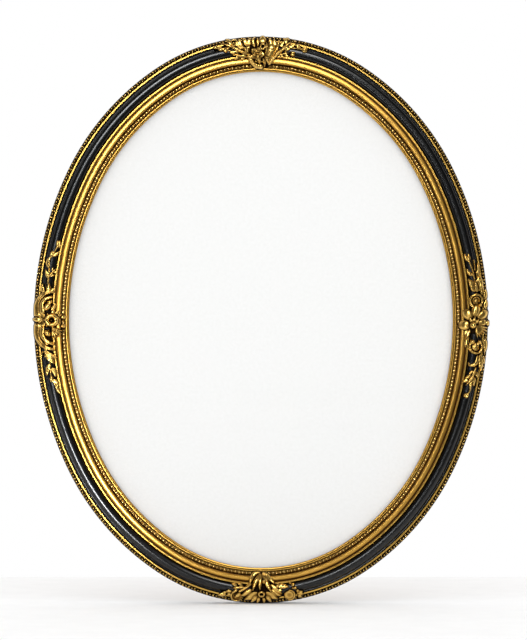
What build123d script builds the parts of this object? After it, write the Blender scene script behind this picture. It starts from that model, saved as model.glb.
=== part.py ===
"""Oval picture frame: black rail, gilt slip, applied ornament, glazing pack and hanging fittings.

Front faces -Y, the wall is the plane y = 0, the oval is centred on x = 0, z = 0.
In a moulding section u runs inward from the outer edge and h forward from the back of the wood.
"""

import os
from math import atan, ceil, cos, degrees, radians, sin

from build123d import *

os.makedirs("parts", exist_ok=True)

# Glazing pack: an oval sheet size sold ready cut, 14 x 18 in
glass_width = 355.6
glass_height = 457.2
glass_thickness = 2.0
card_thickness = 1.5
backing_thickness = 2.8
pack_clearance = 1.2
pack_slack = 0.3
rebate_depth = glass_thickness + card_thickness + backing_thickness + pack_slack

# Clearances shared by mating pieces
fit_gap = 0.25
seat_gap = 0.1
running_gap = 0.08
pin_gap = 0.05

# Rail section
strip_seat_width = 3.8
strip_seat_height = 9.6
fillet_width = 1.6
fillet_height = 14.0
quirk_width = 1.8
quirk_height = 12.6
torus_width = 9.5
torus_rise = 3.8
torus_foot = 14.2
rail_back_width = 12.5
ledge_height = 11.2
fillet_start = strip_seat_width
quirk_start = fillet_start + fillet_width
torus_start = quirk_start + quirk_width
rail_width = torus_start + torus_width

# Outer bead strip section
strip_width = strip_seat_width - fit_gap
strip_wall = 1.6
strip_top = 3.0
strip_bevel = 1.0

# Slip section
band_width = 2.0
band_height = 16.0
groove_width = 0.9
groove_height = 14.2
ovolo_width = 4.6
ovolo_height = 15.2
ovolo_foot = 10.8
channel_width = 4.2
channel_height = 8.6
sight_fillet_width = 1.3
sight_fillet_height = 10.4
sight_bevel_width = 1.7
sight_height = 9.0
sight_lip = 5.4
band_start = rail_width + fit_gap
groove_start = band_start + band_width
ovolo_start = groove_start + groove_width
channel_start = ovolo_start + ovolo_width
sight_fillet_start = channel_start + channel_width
sight_bevel_start = sight_fillet_start + sight_fillet_width
moulding_width = sight_bevel_start + sight_bevel_width
rebate_start = moulding_width - sight_lip
slip_start = rail_back_width + fit_gap
pack_start = rebate_start + pack_clearance

# Sight bead strip section
bead_strip_wall = 0.9
bead_strip_top = 1.9
bead_strip_bevel = 1.1

# Oval: three radii, the directions in degrees where they change
side_arc_end = 26.0
end_arc_start = 56.0
half_width = glass_width / 2 + pack_start
half_height = glass_height / 2 + pack_start

# Rail joints: two dowels across each butt joint
joint_directions = (0, 90, 180, 270)
dowel_diameter = 4.0
dowel_length = 24.0
dowel_end_gap = 0.5
dowel_spots = (3.6, 8.9)
dowel_height = 5.0

# Turn buttons and their screws
button_directions = (0, 60, 120, 180, 240, 300)
button_inset = 19.5
button_thickness = 1.2
button_hub_radius = 5.0
button_tip_radius = 3.2
button_reach = 14.0
screw_shank_radius = 1.8
screw_depth = 9.0
screw_head_radius = 3.4
screw_head_height = 1.7
screw_crown_radius = 2.2
screw_sides = 16

# Hangers: a folded strap with a wire loop, pointing inward
hanger_directions = (16, 164)
strap_width = 9.0
strap_thickness = 1.1
strap_start = 1.6
strap_hole_inset = 6.0
loop_inset = 14.8
wire_radius = 1.25
loop_width = 15.0
loop_leg = 4.0
loop_bend = 2.4
loop_sides = 6
barrel_hole = wire_radius + running_gap
barrel_radius = barrel_hole + strap_thickness

# Wall bumpers, whose backs are the wall plane
bumper_directions = (248, 292)
bumper_inset = 6.4
bumper_radius = 5.5
bumper_chamfer = 0.6
wall_gap = 5.0

# Applied ornament, pressed composition in main forms
front = Vector(0, -1, 0)
top, bottom, right_side, left_side = 90, 270, 0, 180
ornament_skirt = 9.0
edge_overhang = 6.0
seat_step = 2
leaf_outline = ((0.22, 0.36), (0.5, 0.5), (0.8, 0.3))
leaf_slope = 0.3
leaf_rise = 0.32
leaf_sink = 0.4
rosette_lobes = 6
rosette_rise = 0.4
rosette_lobe_share = 0.42
rosette_boss_share = 0.4
scroll_rise = 0.22
scroll_share = 0.72
scroll_sides = 20
crown_start_share = 0.32
crown_end_share = 0.72
ovolo_seat_share = 0.42

# Ornament layout in shares of the moulding width, along the rail from the ornament's middle and inward
# from the outer edge: leaves by root, tip and width, rosettes and scrolls by centre and radius
crest_bud = ((0, 0.38), (0, -0.03), 0.28)
crest_lip = ((0, 0.58), (0, 0.965), 0.35)
crest_curls = (((0.06, 0.49), (0.52, 0.06), 0.24), ((0.06, 0.52), (0.44, 0.78), 0.19))
crest_rosette = ((0, 0.49), 0.22)
crest_spray = (
    ((0.22, 0.48), (1.08, 0.15), 0.28),
    ((0.56, 0.3), (0.92, 0.02), 0.2),
    ((0.2, 0.63), (0.92, 0.46), 0.2),
    ((0.82, 0.3), (1.27, 0.25), 0.19),
)
base_drop = ((0, 0.9), (0, 0.28), 0.35)
base_curls = (((0.06, 0.82), (0.32, 0.38), 0.22), ((0.22, 0.45), (0.41, 0.03), 0.22))
base_rosette = ((0, 0.17), 0.16)
base_spray = (((0.25, 0.63), (0.88, 0.38), 0.24), ((0.82, 0.29), (1.23, 0.22), 0.22))
base_disc = ((0.7, 0.27), 0.18)
flower_bud = ((0, 0.3), (0, -0.05), 0.25)
flower_petal = ((0, 0.6), (0, 0.92), 0.28)
flower_rosette = ((0, 0.46), 0.27)
side_scroll = ((0.6, 0.4), 0.3)
scroll_leaf = ((0.8, 0.5), (1.14, 0.28), 0.25)
sprig_leaves = (
    ((0.95, 0.35), (1.52, 0.5), 0.24),
    ((1.33, 0.44), (1.86, 0.35), 0.2),
    ((1.7, 0.38), (2.18, 0.49), 0.19),
)


def oval_arcs():
    """Eight tangent arcs close to an ellipse: centre x, centre z, radius, start, sweep."""
    middle = radians((side_arc_end + end_arc_start) / 2)
    c1, s1 = cos(radians(side_arc_end)), sin(radians(side_arc_end))
    c2, s2 = cos(radians(end_arc_start)), sin(radians(end_arc_start))
    spread = (half_width * cos(middle)) ** 2 + (half_height * sin(middle)) ** 2
    shoulder = (half_width * half_height) ** 2 / spread**1.5
    across = half_width - shoulder * (c1 - c2)
    upward = half_height - shoulder * (s2 - s1)
    scale = (1 - c1) * (1 - s2) - c2 * s1
    side = (across * (1 - s2) - c2 * upward) / scale
    end = ((1 - c1) * upward - s1 * across) / scale
    side_x = half_width - side
    shoulder_x = side_x + (side - shoulder) * c1
    shoulder_z = (side - shoulder) * s1
    end_z = half_height - end
    bend = end_arc_start - side_arc_end
    cap = 180 - 2 * end_arc_start
    return [
        (side_x, 0, side, -side_arc_end, 2 * side_arc_end),
        (shoulder_x, shoulder_z, shoulder, side_arc_end, bend),
        (0, end_z, end, end_arc_start, cap),
        (-shoulder_x, shoulder_z, shoulder, 180 - end_arc_start, bend),
        (-side_x, 0, side, 180 - side_arc_end, 2 * side_arc_end),
        (-shoulder_x, -shoulder_z, shoulder, 180 + side_arc_end, bend),
        (0, -end_z, end, 180 + end_arc_start, cap),
        (shoulder_x, -shoulder_z, shoulder, 360 - end_arc_start, bend),
    ]


oval = oval_arcs()


def arc_at(direction):
    """The arc of the oval whose outward normal has this direction."""
    for arc in oval:
        if 0 <= (direction - arc[3]) % 360 <= arc[4]:
            return arc


def spot(direction, inward, forward):
    """Plane on the moulding: x along the rail, y inward, z forward."""
    cx, cz, radius, start, sweep = arc_at(direction)
    c, s = cos(radians(direction)), sin(radians(direction))
    reach = radius - inward
    origin = (cx + reach * c, -wall_gap - forward, cz + reach * s)
    return Plane(origin=origin, x_dir=(-s, 0, c), z_dir=front)


def back_spot(direction, inward, forward):
    """Plane on the back: x inward, z towards the wall."""
    facing = spot(direction, inward, forward)
    return Plane(origin=facing.origin, x_dir=facing.y_dir, z_dir=-front)


def section_plane(direction):
    """Plane across the moulding: x is u, y is h."""
    outer = spot(direction, 0, 0)
    return Plane(origin=outer.origin, x_dir=outer.y_dir, z_dir=outer.x_dir)


def follow_oval(section, begin, finish, mode=Mode.ADD):
    """Carry a section around the oval between two directions, into the part being built."""
    for cx, cz, radius, start, sweep in oval:
        for turn in (0, 360):
            first = max(begin, start + turn)
            last = min(finish, start + turn + sweep)
            if last > first:
                face = section_plane((first + last) / 2).from_local_coords(section)
                axis = Axis((cx, 0, cz), front)
                placed = face.rotate(axis, (first - last) / 2)
                revolve(placed, axis=axis, revolution_arc=last - first, mode=mode)


def oval_sheet(name, inset, back, thickness):
    """A flat oval sheet standing inside the moulding."""
    with BuildPart() as sheet:
        with BuildSketch(Plane(origin=(0, -wall_gap - back, 0), x_dir=(1, 0, 0), z_dir=front)):
            with BuildLine():
                for cx, cz, radius, start, sweep in oval:
                    CenterArc((cx, cz), radius - inset, start, sweep)
            make_face()
        extrude(amount=thickness)
    save(sheet.part, name)


def save(part, name):
    part.label = name
    export_step(part, f"parts/{name}.step")


# Rail: four lengths of black moulding, butted at the sides, top and bottom
with BuildSketch() as rail_section:
    with BuildLine():
        Polyline(
            (rail_width, torus_foot),
            (rail_width, ledge_height),
            (rail_back_width, ledge_height),
            (rail_back_width, 0),
            (0, 0),
            (0, strip_seat_height),
            (fillet_start, strip_seat_height),
            (fillet_start, fillet_height),
            (quirk_start, fillet_height),
            (quirk_start, quirk_height),
            (torus_start, quirk_height),
        )
        SagittaArc((torus_start, quirk_height), (rail_width, torus_foot), torus_rise)
    make_face()


def dowel_planes():
    return [
        Plane(origin=spot(direction, inset, dowel_height).origin, z_dir=spot(direction, 0, 0).x_dir)
        for direction in joint_directions
        for inset in dowel_spots
    ]


def drill_rail():
    """Dowel holes in both ends and the hanger screw hole, cut from the part being built."""
    with Locations(*dowel_planes()):
        hole_length = dowel_length + 2 * dowel_end_gap
        Cylinder(dowel_diameter / 2 + pin_gap, hole_length, mode=Mode.SUBTRACT)
    for direction in hanger_directions:
        with Locations(spot(direction, strap_hole_inset, 0)):
            Cylinder(screw_shank_radius + pin_gap, 2 * screw_depth + 2 * pin_gap, mode=Mode.SUBTRACT)


for rail_name, begin in (("upper_right", 0), ("upper_left", 90), ("lower_left", 180), ("lower_right", 270)):
    with BuildPart() as rail:
        follow_oval(rail_section.sketch, begin, begin + 90)
        drill_rail()
    save(rail.part, f"rail_{rail_name}")

with BuildPart() as dowels:
    with Locations(*dowel_planes()):
        Cylinder(dowel_diameter / 2, dowel_length)
save(dowels.part, "joint_dowels")

# Slip: gilt inner moulding, with the band, ovolo, bead channel and sight edge
with BuildSketch() as slip_section:
    with BuildLine():
        Polyline(
            (channel_start, ovolo_foot),
            (channel_start, channel_height),
            (sight_fillet_start, channel_height),
            (sight_fillet_start, sight_fillet_height),
            (sight_bevel_start, sight_fillet_height),
            (moulding_width, sight_height),
            (moulding_width, rebate_depth),
            (rebate_start, rebate_depth),
            (rebate_start, 0),
            (slip_start, 0),
            (slip_start, ledge_height),
            (band_start, ledge_height),
            (band_start, band_height),
            (groove_start, band_height),
            (groove_start, groove_height),
            (ovolo_start, groove_height),
            (ovolo_start, ovolo_height),
        )
        TangentArc((ovolo_start, ovolo_height), (channel_start, ovolo_foot), tangent=(1, 0))
    make_face()

with BuildPart() as slip:
    follow_oval(slip_section.sketch, 0, 360)
    for direction in button_directions:
        with Locations(spot(direction, button_inset, 0)):
            Cylinder(screw_shank_radius + pin_gap, 2 * screw_depth + 2 * pin_gap, mode=Mode.SUBTRACT)
save(slip.part, "gilt_slip")

# Pressed strips: a leaf strip on the outer edge and a bead strip beside the sight edge
with BuildSketch() as outer_strip_section:
    with BuildLine():
        Polyline(
            (0, strip_seat_height),
            (0, strip_seat_height + strip_wall),
            (strip_bevel, strip_seat_height + strip_top),
            (strip_width - strip_bevel, strip_seat_height + strip_top),
            (strip_width, strip_seat_height + strip_wall),
            (strip_width, strip_seat_height),
            close=True,
        )
    make_face()

with BuildPart() as outer_strip:
    follow_oval(outer_strip_section.sketch, 0, 360)
save(outer_strip.part, "outer_leaf_strip")

bead_strip_start = channel_start + fit_gap
bead_strip_end = sight_fillet_start - fit_gap
with BuildSketch() as bead_strip_section:
    with BuildLine():
        Polyline(
            (bead_strip_start, channel_height),
            (bead_strip_start, channel_height + bead_strip_wall),
            (bead_strip_start + bead_strip_bevel, channel_height + bead_strip_top),
            (bead_strip_end - bead_strip_bevel, channel_height + bead_strip_top),
            (bead_strip_end, channel_height + bead_strip_wall),
            (bead_strip_end, channel_height),
            close=True,
        )
    make_face()

with BuildPart() as bead_strip:
    follow_oval(bead_strip_section.sketch, 0, 360)
save(bead_strip.part, "sight_bead_strip")

# Glazing pack
oval_sheet("backing_board", pack_start, pack_slack, backing_thickness)
oval_sheet("picture_card", pack_start, pack_slack + backing_thickness, card_thickness)
oval_sheet("glass_pane", pack_start, rebate_depth - glass_thickness, glass_thickness)


# Turn buttons: each swings on its own screw and holds the backing in
def screw(plane, under_head):
    """Screw with its head this far off the wood, added to the part being built."""
    with BuildPart(mode=Mode.PRIVATE) as upright:
        with BuildSketch(Plane.XY.offset(-screw_depth)) as shank:
            RegularPolygon(screw_shank_radius, screw_sides)
        extrude(shank.sketch, amount=screw_depth + under_head)
        with BuildSketch(Plane.XY.offset(under_head)) as head:
            RegularPolygon(screw_head_radius, screw_sides)
        slope = degrees(atan((screw_head_radius - screw_crown_radius) / screw_head_height))
        extrude(head.sketch, amount=screw_head_height, taper=slope)
    add(plane.from_local_coords(upright.part))


for number, direction in enumerate(button_directions, start=1):
    with BuildPart() as button:
        with BuildSketch(back_spot(direction, button_inset, -seat_gap)):
            with BuildLine():
                hub = CenterArc((0, 0), button_hub_radius, 90, 180)
                tip = CenterArc((button_reach, 0), button_tip_radius, -90, 180)
                Line(hub @ 1, tip @ 0)
                Line(tip @ 1, hub @ 0)
            make_face()
            Circle(screw_shank_radius + running_gap, mode=Mode.SUBTRACT)
        extrude(amount=button_thickness)
    save(button.part, f"turn_button_{number}")

with BuildPart() as button_screws:
    for direction in button_directions:
        screw(back_spot(direction, button_inset, 0), button_thickness + 2 * seat_gap)
save(button_screws.part, "turn_button_screws")

# Hangers: strap rolled round the straight side of a wire loop
def wire_end(flat, along, across, towards):
    """Section of the wire at a place on the loop's plane, facing along its run."""
    place = flat.from_local_coords(Vector(along, across, 0))
    with BuildSketch(Plane(origin=place, x_dir=flat.z_dir, z_dir=towards)) as section:
        RegularPolygon(wire_radius, loop_sides)
    return section.sketch


for side, direction in (("right", hanger_directions[0]), ("left", hanger_directions[1])):
    across = section_plane(direction)
    with BuildPart() as strap:
        with BuildSketch(across):
            with Locations((loop_inset, -barrel_radius)):
                Circle(barrel_radius)
            with Locations((strap_start, 0)):
                Rectangle(loop_inset - strap_start, strap_thickness, align=(Align.MIN, Align.MAX))
            with Locations((loop_inset, -barrel_radius)):
                Circle(barrel_hole, mode=Mode.SUBTRACT)
        extrude(amount=strap_width / 2, both=True)
        with Locations(spot(direction, strap_hole_inset, 0)):
            Cylinder(screw_shank_radius + pin_gap, 4 * strap_thickness, mode=Mode.SUBTRACT)
    save(strap.part, f"hanger_strap_{side}")

    flat = back_spot(direction, loop_inset, -barrel_radius)
    half = loop_width / 2
    with BuildPart() as loop:
        extrude(wire_end(flat, 0, 0, flat.y_dir), amount=half - loop_bend, both=True)
        for turn in (1, -1):
            corner = flat.from_local_coords(Vector(loop_bend, turn * (half - loop_bend), 0))
            bend = wire_end(flat, 0, turn * (half - loop_bend), flat.y_dir)
            revolve(bend, axis=Axis(corner, flat.z_dir * -turn), revolution_arc=90)
            leg = wire_end(flat, loop_bend, turn * half, flat.x_dir)
            extrude(leg, amount=loop_leg - loop_bend, dir=flat.x_dir)
        middle = flat.from_local_coords(Vector(loop_leg, 0, 0))
        bow = wire_end(flat, loop_leg, half, flat.x_dir)
        revolve(bow, axis=Axis(middle, -flat.z_dir), revolution_arc=180)
    save(loop.part, f"hanger_ring_{side}")

with BuildPart() as hanger_screws:
    for direction in hanger_directions:
        screw(back_spot(direction, strap_hole_inset, 0), strap_thickness)
save(hanger_screws.part, "hanger_screws")

with BuildPart() as bumpers:
    for direction in bumper_directions:
        with BuildSketch(back_spot(direction, bumper_inset, 0)) as pad:
            Circle(bumper_radius)
        extrude(pad.sketch, amount=wall_gap)
    chamfer(bumpers.faces().filter_by(Plane.XZ).sort_by(Axis.Y)[-2:].edges(), bumper_chamfer)
save(bumpers.part, "wall_bumpers")


# Ornament seats: the front of the moulding in flats that clear its curves by the seat gap
torus_crown = (quirk_height + torus_foot) / 2 + torus_rise
ovolo_fall = ovolo_height - ovolo_foot
seat_line = (
    (-edge_overhang, strip_seat_height + strip_wall),
    (0, strip_seat_height + strip_wall),
    (strip_bevel, strip_seat_height + strip_top),
    (strip_width - strip_bevel, strip_seat_height + strip_top),
    (fillet_start, fillet_height),
    (torus_start - fit_gap, fillet_height + fit_gap),
    (torus_start + crown_start_share * torus_width, torus_crown),
    (torus_start + crown_end_share * torus_width, torus_crown),
    (rail_width - fit_gap, band_height),
    (groove_start, band_height),
    (ovolo_start + ovolo_seat_share * ovolo_width, ovolo_height),
    (channel_start + seat_gap, ovolo_foot + ovolo_seat_share * ovolo_fall),
    (channel_start + seat_gap, channel_height + bead_strip_top),
    (sight_bevel_start, channel_height + bead_strip_top),
    (moulding_width, sight_height),
    (moulding_width + edge_overhang, sight_height),
)
with BuildSketch() as seat_section:
    with BuildLine():
        raised = [(u, h + seat_gap) for u, h in seat_line]
        Polyline(*raised, (raised[-1][0], 0), (raised[0][0], 0), close=True)
    make_face()


def front_height(inward):
    """Height of the ornament seat at this distance from the outer edge."""
    for (u0, h0), (u1, h1) in zip(seat_line, seat_line[1:]):
        if u0 <= inward < u1:
            return h0 + (h1 - h0) * (inward - u0) / (u1 - u0)


def on_rail(axis, place, lift):
    """Plane on the ornament seat at a layout place, raised by a lift."""
    along, inward = (share * moulding_width for share in place)
    radius = arc_at(axis)[2] - moulding_width / 2
    return spot(axis + degrees(along / radius), inward, front_height(inward) + lift)


def highest_rise(root, tip):
    """How far the seat between two layout places stands above the line that joins them."""
    first, last = (share * moulding_width for share in (root[1], tip[1]))
    start, finish = front_height(first), front_height(last)
    steps = [n / 10 for n in range(11)]
    return max(front_height(first + t * (last - first)) - start - t * (finish - start) for t in steps)


def leaf(axis, root, tip, width):
    """Pointed leaf with sloping sides between two places, added to the part being built."""
    lift = highest_rise(root, tip) - leaf_sink
    start = on_rail(axis, root, lift).origin
    run = on_rail(axis, tip, lift).origin - start
    plane = Plane(origin=start, x_dir=run, z_dir=run.cross(front.cross(run)))
    breadth = width * moulding_width
    thickness = leaf_rise * breadth
    near = [(along * run.length, -across * breadth) for along, across in leaf_outline]
    far = [(x, -y) for x, y in reversed(near)]
    with BuildPart(mode=Mode.PRIVATE) as blade:
        with BuildSketch() as outline:
            with BuildLine():
                Polyline((0, 0), *near, (run.length, 0), *far, close=True)
            make_face()
        extrude(outline.sketch, amount=thickness, taper=degrees(atan(leaf_slope / leaf_rise)))
        extrude(outline.sketch, amount=-ornament_skirt)
    add(plane.from_local_coords(blade.part))


def rosette(axis, centre, share):
    """Round flower of lobes with a raised boss, added to the part being built."""
    radius = share * moulding_width
    thickness = rosette_rise * radius
    lobe = rosette_lobe_share * radius
    boss = rosette_boss_share * radius
    with BuildPart(mode=Mode.PRIVATE) as bloom:
        with BuildSketch(Plane.XY.offset(-ornament_skirt)) as outline:
            Circle(radius - lobe)
            with PolarLocations(radius - lobe, rosette_lobes):
                RegularPolygon(lobe, 2 * rosette_lobes)
        extrude(outline.sketch, amount=ornament_skirt + thickness)
        with BuildSketch(Plane.XY.offset(thickness)) as crown:
            RegularPolygon(boss, 2 * rosette_lobes)
        extrude(crown.sketch, amount=boss / 2, taper=45)
    add(on_rail(axis, centre, 0).from_local_coords(bloom.part))


def scroll(axis, centre, share):
    """C scroll open towards the sight edge, added to the part being built."""
    radius = share * moulding_width
    plane = on_rail(axis, centre, 0)
    with BuildSketch(plane.offset(-ornament_skirt)) as outline:
        RegularPolygon(radius, scroll_sides)
        with Locations((0, (1 - scroll_share) * radius + fit_gap)):
            RegularPolygon(scroll_share * radius, scroll_sides, mode=Mode.SUBTRACT)
    extrude(outline.sketch, amount=ornament_skirt + scroll_rise * radius, dir=plane.z_dir)


def seat_on_moulding(axis):
    """Cut the underside of the ornament being built to the front of the moulding, in straight lengths."""
    leaves = (*crest_spray, *base_spray, *sprig_leaves)
    reach = max(tip[0] + width for root, tip, width in leaves) * moulding_width
    turn = degrees(reach / (arc_at(axis)[2] - moulding_width / 2))
    lengths = ceil(turn / seat_step)
    directions = [axis + seat_step * n for n in range(-lengths, lengths + 1)]
    with BuildLine() as outer_edge:
        Polyline(*[spot(direction, 0, 0).origin for direction in directions])
    face = section_plane(directions[0]).from_local_coords(seat_section.sketch)
    sweep(face, path=outer_edge.line, transition=Transition.RIGHT, mode=Mode.SUBTRACT)


def beside(shape, side):
    """A layout entry on one side of its ornament's middle: side is 1 or -1 along the rail."""
    *places, size = shape
    return [(along * side, inward) for along, inward in places] + [size]


# Crest: bud, flower and curled lip between two sprays
with BuildPart() as crest:
    leaf(top, *crest_bud)
    leaf(top, *crest_lip)
    for side in (1, -1):
        for curl in crest_curls:
            leaf(top, *beside(curl, side))
    rosette(top, *crest_rosette)
    seat_on_moulding(top)
save(crest.part, "crest_cartouche")

for name, side in (("left", 1), ("right", -1)):
    with BuildPart() as spray:
        for shape in crest_spray:
            leaf(top, *beside(shape, side))
        seat_on_moulding(top)
        add(crest.part, mode=Mode.SUBTRACT)
    save(spray.part, f"crest_spray_{name}")

# Base: hanging leaf sheaf between two sprays with discs
with BuildPart() as base:
    leaf(bottom, *base_drop)
    for side in (1, -1):
        for curl in base_curls:
            leaf(bottom, *beside(curl, side))
    rosette(bottom, *base_rosette)
    seat_on_moulding(bottom)
save(base.part, "base_cartouche")

for name, side in (("right", 1), ("left", -1)):
    with BuildPart() as spray:
        for shape in base_spray:
            leaf(bottom, *beside(shape, side))
        rosette(bottom, *beside(base_disc, side))
        seat_on_moulding(bottom)
        add(base.part, mode=Mode.SUBTRACT)
    save(spray.part, f"base_spray_{name}")

# Sides: flower, two C scrolls and two leaf sprigs each
for name, axis, ahead in (("right", right_side, "upper"), ("left", left_side, "lower")):
    behind = "lower" if ahead == "upper" else "upper"
    with BuildPart() as flower:
        leaf(axis, *flower_bud)
        leaf(axis, *flower_petal)
        rosette(axis, *flower_rosette)
        seat_on_moulding(axis)
    save(flower.part, f"{name}_flower")
    for level, side in ((ahead, 1), (behind, -1)):
        with BuildPart() as c_scroll:
            scroll(axis, *beside(side_scroll, side))
            leaf(axis, *beside(scroll_leaf, side))
            seat_on_moulding(axis)
            add(flower.part, mode=Mode.SUBTRACT)
        save(c_scroll.part, f"{name}_scroll_{level}")
        with BuildPart() as sprig:
            for shape in sprig_leaves:
                leaf(axis, *beside(shape, side))
            seat_on_moulding(axis)
            add(c_scroll.part, mode=Mode.SUBTRACT)
        save(sprig.part, f"{name}_sprig_{level}")
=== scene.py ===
"""Looks of the oval picture frame: turned mouldings, pressed strips, carved relief and the fittings.

Sizes are in millimetres until a mesh is made. In a moulding section u runs inward from the outer edge
and h forward from the back of the wood. On an ornament s runs along the rail, anticlockwise as seen
from the front.
"""

from math import asin, atan2, cos, hypot, pi, radians, sin

import bpy
import numpy as np
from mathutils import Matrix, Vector


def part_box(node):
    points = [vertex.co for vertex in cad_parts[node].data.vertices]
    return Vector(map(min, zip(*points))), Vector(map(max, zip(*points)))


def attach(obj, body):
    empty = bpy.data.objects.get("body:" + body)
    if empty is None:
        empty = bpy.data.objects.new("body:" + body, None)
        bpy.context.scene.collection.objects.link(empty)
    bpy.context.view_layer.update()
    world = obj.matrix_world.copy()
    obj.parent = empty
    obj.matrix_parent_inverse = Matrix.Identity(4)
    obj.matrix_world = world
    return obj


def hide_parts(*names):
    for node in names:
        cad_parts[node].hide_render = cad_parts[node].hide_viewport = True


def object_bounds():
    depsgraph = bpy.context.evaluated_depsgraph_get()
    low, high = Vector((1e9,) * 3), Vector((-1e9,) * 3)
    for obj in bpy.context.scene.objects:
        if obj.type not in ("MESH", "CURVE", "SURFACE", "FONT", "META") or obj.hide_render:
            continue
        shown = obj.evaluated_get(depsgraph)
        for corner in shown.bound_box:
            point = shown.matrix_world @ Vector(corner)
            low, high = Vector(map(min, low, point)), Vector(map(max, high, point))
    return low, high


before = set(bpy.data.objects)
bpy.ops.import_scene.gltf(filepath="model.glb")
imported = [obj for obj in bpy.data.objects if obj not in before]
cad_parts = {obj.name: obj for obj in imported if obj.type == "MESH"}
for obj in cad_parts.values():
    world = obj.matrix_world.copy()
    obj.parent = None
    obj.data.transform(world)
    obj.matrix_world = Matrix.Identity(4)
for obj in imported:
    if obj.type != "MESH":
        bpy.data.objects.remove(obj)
cad_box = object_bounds()

MM = 0.001
wall_gap, front_margin = 5.0, 0.05
half_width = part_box("outer_leaf_strip")[1][0] / MM
half_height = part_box("outer_leaf_strip")[1][2] / MM
front_limit = -cad_box[0][1] / MM - wall_gap - front_margin

# Section lines of the moulding, as in the solids but for the ovolo's curve, the cove and the eased arrises
fillet_start, quirk_start, torus_start, rail_width = 3.8, 5.4, 7.2, 16.7
fillet_height, quirk_height, torus_foot, torus_rise = 14.0, 12.6, 14.2, 3.8
rail_back, ledge_height, strip_seat = 12.5, 11.2, 9.6
slip_back, band_start, groove_start, ovolo_start = 12.75, 16.95, 18.95, 19.85
band_height, groove_height, ovolo_foot = 16.0, 14.2, 10.8
ovolo_turn, ovolo_lift, ovolo_rise, ovolo_roll = 23.4, 0.8, 0.35, 0.5
# Painted highlight on the ovolo: lightest at one inset, with painted shade growing away from it
ovolo_tone, ovolo_shade_falloff, ovolo_painted_highlight = 0.22, 0.09, ovolo_turn - 0.9
channel_start, sight_start, bevel_start, sight_edge = 24.45, 28.65, 29.95, 31.65
channel_height, sight_fillet, sight_height, rebate_depth, rebate_start = 8.6, 10.4, 9.0, 6.6, 26.25
strip_width, strip_top, strip_shoulder = 3.55, 12.6, 11.2
bead_start, bead_end, bead_top = 24.7, 28.4, 10.5
strip_grain, strip_columns = 0.28, 15
ease, band_ease, groove_ease = 0.3, 0.4, 0.6
quirk_cove = ((0.1, 0.6), (0.4, 0.2), (0.9, 0.0))
line_start, line_end, outside_height = -8, 40, 9.0

# Oval: three radii, the directions in degrees where they change
side_arc_end = 26.0
end_arc_start = 56.0


def oval_arcs():
    """Eight tangent arcs: centre x, centre z, radius, start and sweep in degrees."""
    middle = radians((side_arc_end + end_arc_start) / 2)
    c1, s1 = cos(radians(side_arc_end)), sin(radians(side_arc_end))
    c2, s2 = cos(radians(end_arc_start)), sin(radians(end_arc_start))
    spread = (half_width * cos(middle)) ** 2 + (half_height * sin(middle)) ** 2
    shoulder = (half_width * half_height) ** 2 / spread**1.5
    across = half_width - shoulder * (c1 - c2)
    upward = half_height - shoulder * (s2 - s1)
    scale = (1 - c1) * (1 - s2) - c2 * s1
    side = (across * (1 - s2) - c2 * upward) / scale
    end = ((1 - c1) * upward - s1 * across) / scale
    side_x = half_width - side
    shoulder_x = side_x + (side - shoulder) * c1
    shoulder_z = (side - shoulder) * s1
    end_z = half_height - end
    bend = end_arc_start - side_arc_end
    cap = 180 - 2 * end_arc_start
    return np.array([
        (side_x, 0, side, -side_arc_end, 2 * side_arc_end),
        (shoulder_x, shoulder_z, shoulder, side_arc_end, bend),
        (0, end_z, end, end_arc_start, cap),
        (-shoulder_x, shoulder_z, shoulder, 180 - end_arc_start, bend),
        (-side_x, 0, side, 180 - side_arc_end, 2 * side_arc_end),
        (-shoulder_x, -shoulder_z, shoulder, 180 + side_arc_end, bend),
        (0, -end_z, end, 180 + end_arc_start, cap),
        (shoulder_x, -shoulder_z, shoulder, 360 - end_arc_start, bend),
    ])


arcs = oval_arcs()


def locate(direction, u, h):
    """Points in metres for directions in degrees, insets and heights, which are arrays of one shape."""
    turned = (np.asarray(direction, float) + side_arc_end) % 360 - side_arc_end
    arc = arcs[np.searchsorted(arcs[:, 3], turned, side="right") - 1]
    reach = arc[..., 2] - u
    angle = np.radians(turned)
    x = arc[..., 0] + reach * np.cos(angle)
    z = arc[..., 1] + reach * np.sin(angle)
    return np.stack([x, -wall_gap - h + 0 * x, z], axis=-1) * MM


def loop_length(u):
    return float(np.sum((arcs[:, 2] - u) * np.radians(arcs[:, 4])))


def direction_at(length, u):
    """Directions for lengths along the line at an inset, from the lower end of the right side arc."""
    ends = np.concatenate([[0], np.cumsum((arcs[:, 2] - u) * np.radians(arcs[:, 4]))])
    starts = np.append(arcs[:, 3], 360 - side_arc_end)
    return np.interp(length, ends, starts)


def arc_points(start, finish, rise, count):
    """Points of an arc that stands this far off its chord, to the left of its run, ends included."""
    (x0, y0), (x1, y1) = start, finish
    chord = hypot(x1 - x0, y1 - y0)
    radius = (chord**2 / 4 + rise**2) / (2 * rise)
    half = asin(chord / 2 / radius)
    middle = atan2(x1 - x0, y0 - y1)
    cx = (x0 + x1) / 2 - (radius - rise) * cos(middle)
    cy = (y0 + y1) / 2 - (radius - rise) * sin(middle)
    angles = np.linspace(middle + half, middle - half, count)
    return [(cx + radius * cos(a), cy + radius * sin(a)) for a in angles]


torus = arc_points((torus_start, quirk_height), (rail_width, torus_foot), torus_rise, count=29)
ovolo_edge = (ovolo_turn, groove_height + ovolo_lift)
ovolo = arc_points((ovolo_start, groove_height), ovolo_edge, ovolo_rise, count=13)[:-1]
ovolo += arc_points(ovolo_edge, (channel_start, ovolo_foot), ovolo_roll, count=7)

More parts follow.
